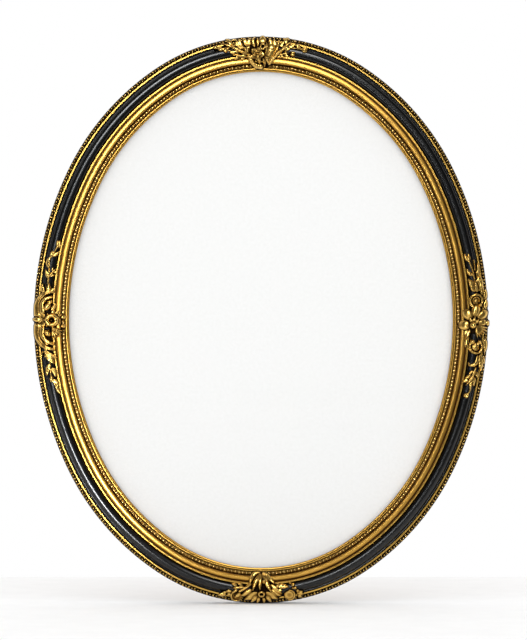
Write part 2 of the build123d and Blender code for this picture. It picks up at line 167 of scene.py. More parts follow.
# Front of the whole moulding, and the line that ornaments stand on
front_line = np.array(
    [(line_start, outside_height), (-0.01, outside_height), (0, strip_shoulder), (1, strip_top)]
    + [(2.5, strip_top), (3.5, strip_shoulder), (3.75, strip_shoulder)]
    + [(fillet_start, fillet_height), (quirk_start, fillet_height), (5.45, quirk_height)]
    + torus
    + [(band_start, band_height), (groove_start, band_height), (19.0, groove_height), (19.8, groove_height)]
    + ovolo
    + [(24.5, 9.5), (25.6, bead_top), (27.4, bead_top), (28.6, 9.5), (28.7, sight_fillet)]
    + [(bevel_start, sight_fillet), (sight_edge, sight_height), (line_end, sight_height)]
)
seat_line = np.array([
    (line_start, 11.0), (0, 12.0), (3.8, 14.3), (7.0, 15.2), (10.2, 17.0), (14.0, 17.0),
    (18.9, 16.0), (21.8, 15.0), (25.5, 12.2), (29.9, 10.6), (line_end, outside_height),
])


def front(u):
    return np.interp(u, front_line[:, 0], front_line[:, 1])


# Meshes


def make_mesh(name, points, faces, shade=None, sharp=40, slots=None):
    """Object from arrays of points and faces; shade is the share of patina and painted shade at each point.
    """
    mesh = bpy.data.meshes.new(name)
    mesh.from_pydata(np.asarray(points).tolist(), [], [list(map(int, face)) for face in faces])
    if shade is not None:
        patina_and_shade = mesh.attributes.new("patina_and_shade", "FLOAT", "POINT")
        patina_and_shade.data.foreach_set("value", np.asarray(shade, np.float32).ravel())
    mesh.polygons.foreach_set("use_smooth", [True] * len(mesh.polygons))
    mesh.set_sharp_from_angle(angle=radians(sharp))
    if slots is not None:
        mesh.polygons.foreach_set("material_index", slots)
    mesh.validate()
    piece = bpy.data.objects.new(name, mesh)
    bpy.context.scene.collection.objects.link(piece)
    return piece


def finish_piece(piece, node, slot, *materials, body="frame"):
    for material in materials:
        piece.data.materials.append(material)
    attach(piece, body)
    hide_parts(node)


def turned(name, profile, begin, finish, step=0.75):
    """A section carried round the oval: rows of u, h, share of patina and painted shade, and the material
    index of the next edge.
    """
    closed = finish - begin >= 360
    count = round((finish - begin) / step)
    directions = np.linspace(begin, finish, count + 1)
    if closed:
        directions = directions[:-1]
    rows = np.array([row[:3] for row in profile], float)
    grid = locate(directions[:, None], rows[None, :, 0], rows[None, :, 1])
    rings, size = grid.shape[:2]
    faces, slots = [], []
    for ring in range(rings if closed else rings - 1):
        after = (ring + 1) % rings
        for edge in range(size):
            nxt = (edge + 1) % size
            faces.append((ring * size + edge, after * size + edge, after * size + nxt, ring * size + nxt))
            slots.append(profile[edge][3])
    if not closed:
        faces.append(tuple(range(size)))
        faces.append(tuple((rings - 1) * size + edge for edge in reversed(range(size))))
        slots += [0, 0]
    shade = np.tile(rows[:, 2], rings)
    return make_mesh(name, grid.reshape(-1, 3), faces, shade, slots=slots)


# Relief: height fields for the pressed ornaments


def smooth_path(points, count=48):
    """Evenly spaced points on a curve through the given ones."""
    knots = np.array(points, float)
    if len(knots) == 2:
        dense = np.linspace(knots[0], knots[1], 200)
    else:
        padded = np.vstack([2 * knots[0] - knots[1], knots, 2 * knots[-1] - knots[-2]])
        t = np.linspace(0, 1, 60)[:, None]
        dense = np.vstack([
            0.5 * (
                2 * b
                + (c - a) * t
                + (2 * a - 5 * b + 4 * c - d) * t**2
                + (3 * b - a - 3 * c + d) * t**3
            )
            for a, b, c, d in zip(padded, padded[1:], padded[2:], padded[3:])
        ])
    run = np.concatenate([[0], np.cumsum(np.hypot(*np.diff(dense, axis=0).T))])
    even = np.linspace(0, run[-1], count)
    return np.stack([np.interp(even, run, dense[:, 0]), np.interp(even, run, dense[:, 1])], axis=1)


def soften(field, cells):
    reach = int(3 * cells)
    kernel = np.exp(-0.5 * (np.arange(-reach, reach + 1) / cells) ** 2)
    kernel /= kernel.sum()
    padded = np.pad(field, reach, mode="edge")
    across = np.apply_along_axis(np.convolve, 1, padded, kernel, "valid")
    return np.apply_along_axis(np.convolve, 0, across, kernel, "valid")


def turn_to(angle):
    """Step of one along s and u for an angle in degrees from s towards u."""
    return np.array([cos(radians(angle)), sin(radians(angle))])


class Relief:
    """A pressed ornament as heights over the moulding.

    A cell is one grain wide. The flank of a form falls this steeply and gets painted shade, and a rim of
    the ground beside it gets a painted shadow. Softening is in cells. The back of the ornament is sunk
    under the moulding's front.
    """

    grain, flank, rim = 0.25, 4.5, 0.9
    softening, tone_softening = 1.2, 0.7
    # Patina and painted shade in hollows: how far round to look, how deep a hollow darkens fully, and how
    # much
    hollow_reach, hollow_depth, hollow_tone = 5, 0.8, 0.45
    sunk, thinnest, showing = 1.2, 0.2, 0.02

    def __init__(self, axis, along, inward):
        self.axis = axis
        self.s, self.u = np.meshgrid(
            np.arange(*along, self.grain), np.arange(*inward, self.grain), indexing="ij"
        )
        self.floor = front(self.u)
        self.seat = np.interp(self.u, seat_line[:, 0], seat_line[:, 1])
        self.h = self.floor - 1.0
        self.shade = np.ones_like(self.h)

    def window(self, points, margin):
        low, high = np.min(points, axis=0) - margin, np.max(points, axis=0) + margin
        rows = np.flatnonzero((self.s[:, 0] >= low[0]) & (self.s[:, 0] <= high[0]))
        columns = np.flatnonzero((self.u[0] >= low[1]) & (self.u[0] <= high[1]))
        return np.s_[rows[0] : rows[-1] + 1, columns[0] : columns[-1] + 1]

    def lay(self, window, rise, outside, tone):
        """Raise the field inside a shape. Its steep flanks get painted shade, and lower ground beside it a
        painted shadow.
        """
        inside = outside <= 0
        below = self.h[window]
        lifted = self.seat[window] + np.where(inside, rise, -self.flank * outside)
        over = lifted > below
        lower = ~inside & (below < self.seat[window] + 0.8 * np.max(rise))
        # Painted shadow on lower ground close beside the shape
        beside = np.where(lower, np.clip(1 - outside / self.rim, 0, 1), 0)
        shade = self.shade[window]
        self.shade[window] = np.where(over, np.where(inside, tone, 1.0), np.maximum(shade, beside))
        self.h[window] = np.maximum(below, lifted)

    def follow(self, points, width):
        """Share of the way along a path, distance from it and side of it, over a window."""
        path = smooth_path(points)
        window = self.window(path, width / 2 + 1.5)
        ds = self.s[window][..., None] - path[:, 0]
        du = self.u[window][..., None] - path[:, 1]
        nearest = np.argmin(ds**2 + du**2, axis=-1)
        pick = nearest[..., None]
        ds, du = np.take_along_axis(ds, pick, -1)[..., 0], np.take_along_axis(du, pick, -1)[..., 0]
        run = np.gradient(path, axis=0)
        side = np.sign(run[nearest, 0] * du - run[nearest, 1] * ds)
        return window, nearest / (len(path) - 1), np.hypot(ds, du), side

    def leaf(self, points, width, rise=3.0, lobes=0, veins=0, cup=0.0, tip=0.4):
        """Rounded leaf along a path, with slanting veins, lobes or a hollow; tip raised by a share."""
        window, t, away, _ = self.follow(points, width)
        half = width / 2 * np.sin(pi * np.clip(t, 0, 1) ** 0.75) ** 0.75
        if lobes:
            half = half * (0.7 + 0.3 * np.abs(np.cos(pi * lobes * (t - 0.05))) ** 0.6)
        q = np.clip(away / np.maximum(half, 0.05), 0, 1)
        dome = np.sqrt(1 - q**2) * (1 - cup) + cup * (0.35 + 0.65 * q**2)
        crossing = np.cos(2 * pi * (veins * t - 0.9 * q)) * q if veins else 0.0
        body = rise * (0.55 + tip * t) * dome + 0.3 * crossing * (1 - q**4)
        # Painted shade towards the leaf's edges, at its root and in a cupped hollow; raised veins painted
        # lighter
        root = np.clip(1 - t / 0.35, 0, 1)
        tone = 0.14 + 0.8 * q**4 + 0.6 * root - 0.4 * crossing + 0.5 * cup * (1 - q) ** 2
        self.lay(window, body, away - half, tone)

    def acanthus(self, points, width, rise, pairs):
        """Leaf of paired leaflets, which bend towards its tip, on a raised rib."""
        path = smooth_path(points)
        run = np.gradient(path, axis=0)
        for n in range(pairs):
            t = (n + 0.5) / (pairs + 0.6)
            step = int(t * (len(path) - 1))
            heading = np.degrees(np.arctan2(run[step, 1], run[step, 0]))
            reach = width * (0.5 + 0.3 * sin(pi * (0.15 + 0.75 * t)))
            for side in (1, -1):
                middle = path[step] + 0.55 * reach * turn_to(heading + side * 58)
                tip = middle + 0.6 * reach * turn_to(heading + side * 22)
                self.leaf([path[step], middle, tip], 0.62 * reach, rise * (0.85 + 0.15 * t))
        self.leaf(points, 0.36 * width, rise * 1.2)

    def fan(self, root, reach, begin, finish, flutes, rise):
        """Scallop shell of rounded flutes between two angles from a root."""
        width = 1.25 * reach * radians(abs(finish - begin)) / flutes
        for angle in np.linspace(begin, finish, flutes):
            self.leaf([root, np.array(root) + reach * turn_to(angle)], width, rise, tip=0.6)

    def tube(self, points, width, rise=2.4, taper=0.0, ribs=0, flute=0.0):
        """Stem or scroll band along a path, with ribs round it or a hollow down its middle."""
        window, t, away, side = self.follow(points, width)
        half = width / 2 * (1 - taper * t)
        q = np.clip(away / half, 0, 1)
        hollow = np.exp(-((q / 0.45) ** 2))
        ribbing = np.cos(2 * pi * ribs * t + 1.5 * side * q) * (1 - q**2) if ribs else 0.0
        body = rise * np.sqrt(1 - q**2) - flute * hollow + 0.35 * ribbing
        # Painted shade towards the band's edges and in its flute; rib crests painted lighter
        tone = 0.14 + 0.8 * q**4 + 0.7 * min(flute, 1) * hollow - 0.4 * ribbing
        self.lay(window, body, away - half, tone)

    def dome(self, centre, size, rise, turn=0, slit=0.0, hole=0.0):
        """Bud, berry or boss: sizes along and inward, turned in degrees from the rail."""
        a, b = size
        window = self.window([centre], max(size) + 1.5)
        ds, du = self.s[window] - centre[0], self.u[window] - centre[1]
        c, s = cos(radians(turn)), sin(radians(turn))
        x, y = ds * c + du * s, du * c - ds * s
        q = np.hypot(x / a, y / b)
        groove = np.exp(-((y / (0.28 * b)) ** 2))
        eye = np.exp(-((q / 0.45) ** 4))
        body = rise * np.sqrt(np.clip(1 - q**2, 0, 1)) - slit * groove - hole * eye
        # Painted shade towards the edge, in the slit and in the eye
        tone = 0.12 + 0.8 * np.clip(q, 0, 1) ** 4 + min(slit, 1) * groove + min(hole / 2, 1) * eye
        # A low ground is painted fully dark, as shade between the forms over it
        if rise < 1:
            tone = np.ones_like(q)
        self.lay(window, body, (q - 1) * min(size), tone)

    def scroll(
        self, centre, radius, start, sweep, width, rise=3.0, ball=0.0, close=0.35, flute=0.6, taper=0.25
    ):
        """C scroll: a band that winds in by a share of its radius, from a start angle, ending in a ball."""
        turns = np.linspace(0, 1, 14)
        points = [np.array(centre) + radius * (1 - close * t) * turn_to(start + sweep * t) for t in turns]
        self.tube(points, width, rise, taper=taper, flute=flute)
        if ball:
            self.dome(points[-1], (ball, ball), rise * 1.15)

    def petals(self, centre, radius, count, rise, start=0, cup=0.5):
        for angle in np.linspace(start, start + 360, count, endpoint=False):
            root, tip = (np.array(centre) + share * radius * turn_to(angle) for share in (0.15, 1.0))
            self.leaf([root, tip], 2 * pi * radius / count * 0.8, rise, cup=cup, tip=0.5)

    def patina_and_shade(self, h):
        """Share of patina and painted shade: that painted on each form, and more where the forms round
        about stand higher.
        """
        raised = np.maximum(h, self.floor)
        hollow = (soften(raised, self.hollow_reach) - raised) / self.hollow_depth
        return np.clip(soften(self.shade, self.tone_softening) + self.hollow_tone * hollow, 0, 1)

    def mesh(self, name):
        """Closed mesh of what stands over the moulding."""
        h = np.minimum(soften(self.h, self.softening), front_limit)
        seen = h > self.floor + self.showing
        cells = seen[:-1, :-1] | seen[1:, :-1] | seen[:-1, 1:] | seen[1:, 1:]
        shade = self.patina_and_shade(h)
        radius = arcs[np.searchsorted(arcs[:, 3], self.axis, side="right") - 1, 2] - sight_edge / 2
        direction = self.axis + np.degrees(self.s / radius)
        top = locate(direction, self.u, h)
        base = locate(direction, self.u, np.minimum(self.floor - self.sunk, h - self.thinnest))
        columns = h.shape[1]
        total = h.size
        row, column = np.nonzero(cells)
        corner = row * columns + column
        quad = np.stack([corner, corner + 1, corner + columns + 1, corner + columns], axis=1)
        walls = []
        for (dr, dc), (a, b) in {
            (-1, 0): (0, 1), (0, 1): (1, 2), (1, 0): (2, 3), (0, -1): (3, 0)
        }.items():
            r, c = row + dr, column + dc
            inside = (r >= 0) & (r < cells.shape[0]) & (c >= 0) & (c < cells.shape[1])
            beside = np.zeros(len(row), bool)
            beside[inside] = cells[r[inside], c[inside]]
            edge = quad[~beside]
            walls.append(np.stack([edge[:, b], edge[:, a], edge[:, a] + total, edge[:, b] + total], axis=1))
        faces = np.vstack([quad, quad[:, ::-1] + total] + walls)
        used, compact = np.unique(faces, return_inverse=True)
        points = np.vstack([top.reshape(-1, 3), base.reshape(-1, 3)])[used]
        tone = np.concatenate([shade.ravel(), np.ones(total)])[used]
        return make_mesh(name, points, compact.reshape(faces.shape), tone, sharp=60)


# Materials


def material(name, metallic=0.0, roughness=0.5, **sockets):
    """Node material with its shader, and sockets that are the same all over."""
    made = bpy.data.materials.new(name)
    made.use_nodes = True
    shader = made.node_tree.nodes["Principled BSDF"]
    shader.inputs["Metallic"].default_value = metallic
    shader.inputs["Roughness"].default_value = roughness
    for socket, value in sockets.items():
        shader.inputs[socket].default_value = value
    return made, made.node_tree, shader


def node(tree, kind, inputs=(), **settings):
    made = tree.nodes.new(kind)
    for key, value in settings.items():
        setattr(made, key, value)
    for key, value in dict(inputs).items():
        if isinstance(value, bpy.types.NodeSocket):
            tree.links.new(value, made.inputs[key])
        else:
            made.inputs[key].default_value = value
    return made


def noise(tree, scale, detail=4.0, stretch=(1, 1, 1)):
    place = node(tree, "ShaderNodeTexCoord").outputs["Object"]
    mapped = node(tree, "ShaderNodeMapping", {"Vector": place, "Scale": stretch})
    sockets = {"Vector": mapped.outputs["Vector"], "Scale": scale, "Detail": detail}
    return node(tree, "ShaderNodeTexNoise", sockets).outputs["Fac"]


def ramp(tree, factor, *stops):
    """Colours or greys at positions along a factor."""
    made = node(tree, "ShaderNodeValToRGB", {"Fac": factor})
    elements = made.color_ramp.elements
    while len(elements) < len(stops):
        elements.new(1.0)
    for element, (place, colour) in zip(elements, stops):
        element.position = place
        element.color = (*colour, 1) if isinstance(colour, tuple) else (colour, colour, colour, 1)
    return made.outputs["Color"]


def blend(tree, kind, factor, first, second):
    made = node(tree, "ShaderNodeMix", data_type="RGBA", blend_type=kind)
    for key, value in (("Factor", factor), ("A", first), ("B", second)):
        socket = made.inputs[key]
        if isinstance(value, bpy.types.NodeSocket):
            tree.links.new(value, socket)
        elif isinstance(value, tuple):
            socket.default_value = (*value, 1)
        else:
            socket.default_value = value
    return made.outputs["Result"]


def maths(tree, operation, first, second):
    return node(tree, "ShaderNodeMath", {0: first, 1: second}, operation=operation).outputs["Value"]


def bump(tree, shader, height, strength, distance):
    made = node(tree, "ShaderNodeBump", {"Height": height, "Strength": strength, "Distance": distance})
    tree.links.new(made.outputs["Normal"], shader.inputs["Normal"])


def gilding(name, bright, middle, dark, roughness, mottling, grain):
    """Rubbed gold, darker where the surface lies low: patina and painted shade."""
    made, tree, shader = material(name, metallic=1.0)
    patina_and_shade = node(tree, "ShaderNodeAttribute", attribute_name="patina_and_shade").outputs["Fac"]
    mottle = maths(tree, "MULTIPLY", maths(tree, "SUBTRACT", noise(tree, 220, 6), 0.5), mottling)
    # Darkness from patina and painted shade, with random mottling; it also roughens the gold
    wear_and_shade = maths(tree, "ADD", patina_and_shade, mottle)
    colour = ramp(tree, wear_and_shade, (0.0, bright), (0.4, middle), (0.85, dark))
    broad = ramp(tree, noise(tree, 30, 3), (0.35, (0.88, 0.86, 0.82)), (0.65, (1.0, 1.0, 1.0)))
    tree.links.new(blend(tree, "MULTIPLY", 1.0, colour, broad), shader.inputs["Base Color"])
    rough = ramp(tree, wear_and_shade, (0.0, roughness), (0.9, min(roughness + 0.35, 1.0)))
    tree.links.new(rough, shader.inputs["Roughness"])
    bump(tree, shader, noise(tree, 900, 4), grain, 0.0002)
    return made


def lacquer():
    """Black polish with faint orange peel."""
    made, tree, shader = material("black_lacquer", **{"Specular IOR Level": 0.42})
    cool, warm = (0.0014, 0.0015, 0.0016), (0.0030, 0.0029, 0.0028)
    tree.links.new(ramp(tree, noise(tree, 60, 4), (0.3, cool), (0.7, warm)), shader.inputs["Base Color"])
    rough = ramp(tree, noise(tree, 300, 5), (0.3, 0.22), (0.75, 0.28))
    tree.links.new(rough, shader.inputs["Roughness"])
    bump(tree, shader, noise(tree, 60, 2), 0.02, 0.0003)
    return made


def clear_glass():
    made, tree, shader = material("clear_glass", IOR=1.5, **{"Transmission Weight": 1.0})
    tint = ramp(tree, noise(tree, 3, 2), (0.3, (0.985, 0.995, 0.99)), (0.7, (0.995, 1.0, 0.998)))
    tree.links.new(tint, shader.inputs["Base Color"])
    rough = ramp(tree, noise(tree, 15, 2), (0.3, 0.0), (0.8, 0.012))
    tree.links.new(rough, shader.inputs["Roughness"])
    path = node(tree, "ShaderNodeLightPath")
    clear = node(tree, "ShaderNodeBsdfTransparent")
    pass_light = maths(tree, "MAXIMUM", path.outputs["Is Shadow Ray"], path.outputs["Is Diffuse Ray"])
    mixed = node(tree, "ShaderNodeMixShader", {0: pass_light, 1: shader.outputs[0], 2: clear.outputs[0]})
    tree.links.new(mixed.outputs[0], tree.nodes["Material Output"].inputs["Surface"])
    return made


def fibre(name, dark, pale, roughness, scale, depth, stretch=(1, 1, 1)):
    """Paper, board or wood: two tones along a stretched noise."""
    made, tree, shader = material(name, roughness=roughness)
    grain = noise(tree, scale, 6, stretch)
    tree.links.new(ramp(tree, grain, (0.3, dark), (0.7, pale)), shader.inputs["Base Color"])
    bump(tree, shader, grain, depth, 0.0002)
    return made


def plated(name, dark, pale, roughness):
    """Plated metal with fine brushing and dulled patches."""
    made, tree, shader = material(name, metallic=1.0)
    brushing = noise(tree, 700, 3, (1, 1, 0.06))
    colour = ramp(tree, noise(tree, 120, 5), (0.35, dark), (0.65, pale))
    tree.links.new(colour, shader.inputs["Base Color"])
    rough = ramp(tree, brushing, (0.3, roughness), (0.7, roughness + 0.18))
    tree.links.new(rough, shader.inputs["Roughness"])
    bump(tree, shader, brushing, 0.08, 0.0001)
    return made


gold_moulding = gilding(
    "gilt_moulding", bright=(0.84, 0.51, 0.11), middle=(0.55, 0.30, 0.055), dark=(0.06, 0.027, 0.007),
    roughness=0.23, mottling=0.14, grain=0.02,
)
gold_strip = gilding(
    "gilt_strip", bright=(0.86, 0.58, 0.18), middle=(0.36, 0.20, 0.045), dark=(0.014, 0.008, 0.003),
    roughness=0.26, mottling=0.2, grain=0.03,
)
gold_ornament = gilding(
    "gilt_ornament", bright=(0.84, 0.54, 0.14), middle=(0.36, 0.20, 0.045), dark=(0.010, 0.005, 0.002),
    roughness=0.27, mottling=0.14, grain=0.02,
)
black = lacquer()

# Mouldings: rows of u, h, share of patina and painted shade, and material index. Painted shade in grooves,
# channels and corners and at the fillets' arrises; fillet and band tops painted lighter
rail_profile = (
    [(0, 0, 0.6, 0), (0, strip_seat, 0.6, 0), (fillet_start, strip_seat, 1, 0)]
    + [(fillet_start, fillet_height - ease, 0.3, 1), (fillet_start + ease, fillet_height, 0.0, 1)]
    + [(quirk_start - ease, fillet_height, 0.0, 1), (quirk_start, fillet_height - ease, 0.4, 0)]
    + [(quirk_start + inward, quirk_height + up, 1, 0) for inward, up in quirk_cove]
    + [(u, h, 0, 0) for u, h in torus]
    + [(rail_width, ledge_height, 0.6, 0), (rail_back, ledge_height, 0.6, 0), (rail_back, 0, 0.6, 0)]
)
for name, begin in (("upper_right", 0), ("upper_left", 90), ("lower_left", 180), ("lower_right", 270)):
    rail = turned(f"black_rail_{name}", rail_profile, begin, begin + 90)
    finish_piece(rail, f"rail_{name}", "black_lacquer", black, gold_moulding)

# Painted shade in the groove, the channel, the dip between the sight fillets and the inner corners; band
# and fillet tops painted lighter
slip_profile = (
    [(slip_back, 0, 0.5, 0), (slip_back, ledge_height, 0.5, 0), (band_start, ledge_height, 1, 0)]
    + [(band_start, band_height - band_ease, 0.6, 0), (band_start + band_ease, band_height, 0.15, 0)]
    + [(groove_start - groove_ease, band_height, 0.1, 0), (groove_start, band_height - groove_ease, 0.6, 0)]
    + [(groove_start, groove_height, 1, 0)]
    # The ovolo: a painted highlight with painted shade on either side
    + [(u, h, ovolo_tone + ovolo_shade_falloff * (u - ovolo_painted_highlight) ** 2, 0) for u, h in ovolo]
    + [(channel_start, channel_height, 1, 0), (sight_start, channel_height, 1, 0)]
    + [(sight_start, sight_fillet - ease, 0.7, 0), (sight_start + ease, sight_fillet, 0.35, 0)]
    + [(bevel_start - 0.35, sight_fillet, 0.3, 0), (bevel_start, sight_fillet - 0.4, 0.8, 0)]
    + [(bevel_start + 0.35, sight_fillet - 0.9, 0.9, 0), (bevel_start + 0.7, sight_height + 0.55, 0.35, 0)]
    + [(sight_edge - ease, sight_height + 0.15, 0.2, 0), (sight_edge, sight_height - ease, 0.3, 0)]
    + [(sight_edge, rebate_depth, 0.6, 0), (rebate_start, rebate_depth, 0.5, 0), (rebate_start, 0, 0.5, 0)]
)
finish_piece(turned("gilt_slip_turned", slip_profile, 0, 360), "gilt_slip", "gilt_moulding", gold_moulding)


# Pressed strips: height fields that run round the oval
def strip(name, node_name, pattern, inner, outer, base, crown, pitch, ground, contrast):
    """Strip from inset to inset. The pattern gives a share of the rise for places along and across.

    The low ground gets this share of patina and painted shade, less the contrast where the pattern stands
    highest, which is painted lighter.
    """
    middle = (inner + outer) / 2
    length = loop_length(middle)
    repeats = round(length / pitch)
    cells = round(length / strip_grain)
    along = np.arange(cells) * length / cells
    across = np.linspace(-1, 1, strip_columns)
    share = pattern((along * repeats / length)[:, None], across[None, :])
    edge = np.sqrt(np.clip(1 - np.abs(across) ** 4, 0, 1))
    h = base + (crown - base) * (0.2 + 0.8 * share) * edge
    direction = direction_at(along, middle)
    u = middle + across * (outer - inner) / 2
    top = locate(direction[:, None], u[None, :], h)
    foot = locate(direction[:, None], np.array([[inner, outer]]), np.full((cells, 2), base - 0.8))
    points = np.concatenate([foot[:, :1], top, foot[:, 1:]], axis=1)
    size = points.shape[1]
    ring = np.arange(cells)[:, None] * size
    after = (np.arange(cells)[:, None] + 1) % cells * size
    edge_index = np.arange(size)[None, :]
    nxt = (edge_index + 1) % size
    corners = np.broadcast_arrays(ring + edge_index, after + edge_index, after + nxt, ring + nxt)
    faces = np.stack(corners, axis=-1)
    # Painted shade: dark at the hidden feet and on the low ground, lighter on the raised pattern
    tone = np.ones((cells, size))
    tone[:, 1:-1] = np.clip(ground - contrast * share * edge, 0, 1)
    piece = make_mesh(name, points.reshape(-1, 3), faces.reshape(-1, 4), tone, sharp=70)
    finish_piece(piece, node_name, "gilt_strip", gold_strip)


def lens(x, y, length, width, slant=0.0):
    """Share of the rise of an oval boss, from its middle outward."""
    return np.sqrt(np.clip(1 - ((x - slant * y) / length) ** 2 - (y / width) ** 2, 0, 1))


def leaf_and_bead(motif, across):
    """A pair of slanting leaves, then a bead."""
    x = motif % 1 - 0.5
    leaves = np.maximum(lens(x, across - 0.4, 0.2, 0.42, 0.25), lens(x, across + 0.4, 0.2, 0.42, -0.25))
    bead = lens((motif + 0.5) % 1 - 0.5, across, 0.17, 0.5)
    return np.maximum(leaves, bead)


def bead_and_bar(motif, across):
    """Round beads with a slanting bar between neighbours, every fourth bead the largest."""
    x = motif % 1 - 0.5
    large = np.where(np.floor(motif) % 4 == 0, 1.0, 0.9)
    bead = large * lens(x, across, 0.3 * large, 0.95 * large)
    bar = 0.8 * lens((motif + 0.5) % 1 - 0.5, across, 0.12, 0.8, 0.2)
    return np.maximum(bead, bar)


strip(
    "outer_leaf_strip_pressed", "outer_leaf_strip", leaf_and_bead, inner=0.0, outer=strip_width,
    base=10.4, crown=strip_top, pitch=5.8, ground=1.2, contrast=1.4,
)
strip(
    "sight_bead_strip_pressed", "sight_bead_strip", bead_and_bar, inner=bead_start, outer=bead_end,
    base=9.2, crown=bead_top, pitch=3.4, ground=0.7, contrast=0.75,
)

# Ornaments, each about a direction of the oval in degrees
top, bottom, right_side, left_side = 90, 270, 0, 180


def ornament(relief, name):
    finish_piece(relief.mesh(f"{name}_relief"), name, "gilt_ornament", gold_ornament)


def crest():
    relief = Relief(top, (-20, 20), (-0.9, 31.5))
    # Low grounds, painted dark as shade between the forms
    relief.dome((2, 11), (15, 10), 0.7)
    relief.dome((0, 21), (10, 8), 0.7)
    relief.leaf([(10.5, 9.5), (13.2, 4.5), (14.2, 0.8)], 5.0, 3.4, cup=0.3, veins=2)
    relief.leaf([(10.3, 9.5), (10.2, 5), (8.6, 1.2)], 4.4, 3.6, cup=0.3, veins=2)
    relief.leaf([(15.5, 10.5), (17.5, 6), (17.5, 1.6)], 4.6, 3.2)
    relief.leaf([(5.4, 10.5), (6.6, 4.5), (4.6, 0.4)], 4.0, 3.8, veins=2)
    relief.leaf([(2.6, 10.0), (2.6, 5.0), (3.0, 1.4)], 2.8, 3.2)
    relief.leaf([(11.5, 16), (12, 12), (9, 9)], 5.0, 3.2)
    relief.leaf([(-5.5, 24), (-9.4, 12.5), (-7.0, 1.4)], 9.0, 4.0, veins=9)
    relief.leaf([(-4.6, 19), (-5.2, 11), (-4.8, 5.5)], 3.6, 4.2)
    relief.leaf([(-1.5, 8.4), (-1.5, -0.8)], 7.4, 4.4, tip=0.1)
    relief.dome((-1.7, 9.7), (2.9, 3.8), 4.8, hole=4.6)
    relief.petals((3.3, 16.4), 6.8, 5, 3.8, start=30, cup=0.15)
    relief.petals((3.3, 16.4), 3.8, 4, 4.8, start=10, cup=0.1)
    relief.dome((3.3, 16.4), (1.1, 1.1), 4.9)
    relief.tube([(10.8, 17.5), (9.0, 22.5), (5.0, 26.6), (0, 27.8)], 4.8, 3.8, ribs=7)
    relief.dome((0.2, 27.6), (2.9, 2.6), 4.6)
    relief.leaf([(-3.4, 18), (-6.5, 22), (-8.6, 26)], 5.0, 3.6, lobes=3)
    relief.leaf([(-2, 20), (-3.4, 24), (-3.6, 28.2)], 3.6, 3.4, lobes=2)
    relief.leaf([(1.5, 21), (1.2, 25.4)], 4.0, 3.2, veins=2)
    ornament(relief, "crest_cartouche")


def crest_left():
    relief = Relief(top, (8, 46), (-0.9, 24))
    relief.acanthus([(10, 17.8), (19, 12.2), (27, 6.6), (34.5, 2.4)], 9.5, 3.4, 3)
    relief.acanthus([(12, 18.8), (19, 16.8), (26.5, 15.0)], 6.5, 3.0, 2)
    relief.leaf([(15, 11.5), (18.4, 7), (17.8, 2.4)], 5.4, 3.4, cup=0.3)
    relief.scroll((22.6, 4.6), 2.9, 300, -290, 1.9, 3.2, ball=1.2)
    relief.leaf([(22, 8.5), (26.5, 4), (27.0, 0.8)], 4.0, 3.0)
    relief.tube([(24, 12), (31, 9.9), (40, 5)], 1.4, 2.0)
    relief.dome((31.2, 10.2), (2.6, 1.9), 3.2, turn=-25, slit=0.6)
    relief.dome((35.0, 7.8), (2.6, 2.2), 3.2, turn=-25)
    relief.dome((38.8, 5.4), (1.8, 1.7), 2.6, slit=0.4)
    ornament(relief, "crest_spray_left")


def crest_right():
    relief = Relief(top, (-43, -7), (-0.9, 26))
    relief.tube([(-8, 25), (-11.8, 19.9), (-16.7, 13.5), (-22.3, 9.0)], 3.2, 3.4, ribs=11)
    relief.tube([(-8.6, 21.5), (-11.6, 16.5), (-14.5, 11.5)], 1.6, 3.2)
    relief.acanthus([(-12.8, 16.5), (-14.6, 9.5), (-15.2, 2.0)], 8.5, 3.6, 2)
    relief.acanthus([(-18, 12), (-21.6, 7.5), (-25.4, 2.8)], 8.5, 3.6, 2)
    relief.acanthus([(-15.5, 17), (-20.5, 15), (-26, 13.4)], 5.5, 2.9, 2)
    relief.dome((-28.4, 13.7), (2.7, 2.5), 3.2, slit=0.9)
    relief.tube([(-22, 9.5), (-27, 8.6), (-36, 7.8)], 1.5, 2.0)
    relief.dome((-31.6, 6.4), (2.3, 2.9), 3.2, turn=30, slit=0.5)
    relief.dome((-37.8, 8.0), (3.0, 2.7), 3.4, slit=0.9)
    for place in ((-19.5, 1.5), (-22.5, 1.4), (-28.5, 2.2)):
        relief.dome(place, (1.4, 1.2), 2.4)
    ornament(relief, "crest_spray_right")


